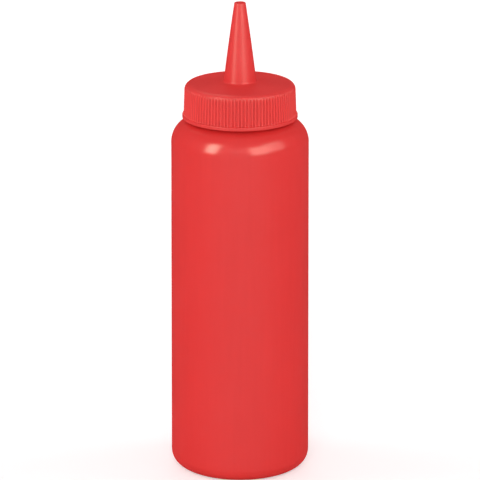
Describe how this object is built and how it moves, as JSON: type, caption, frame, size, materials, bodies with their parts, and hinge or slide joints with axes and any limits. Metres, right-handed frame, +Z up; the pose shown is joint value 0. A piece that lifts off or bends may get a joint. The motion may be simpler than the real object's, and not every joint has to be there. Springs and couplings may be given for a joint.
{
  "type": "squeeze bottle",
  "caption": "Upright plastic squeeze bottle for sauces, with a ribbed screw cap and a hollow conical nozzle.",
  "frame": {"origin": "on the bottle's axis, in the plane of the standing ring it rests on", "axes": "+Z up along the bottle's axis towards the nozzle tip; the piece is round, so +X and +Y are free"},
  "size_m": [0.0696, 0.0696, 0.24],
  "materials": {
    "bottle_plastic": "satin",
    "cap_plastic": "satin"
  },
  "bodies": {
    "root": {"bottle": "bottle_plastic", "cap": "cap_plastic"}
  },
  "joints": []
}
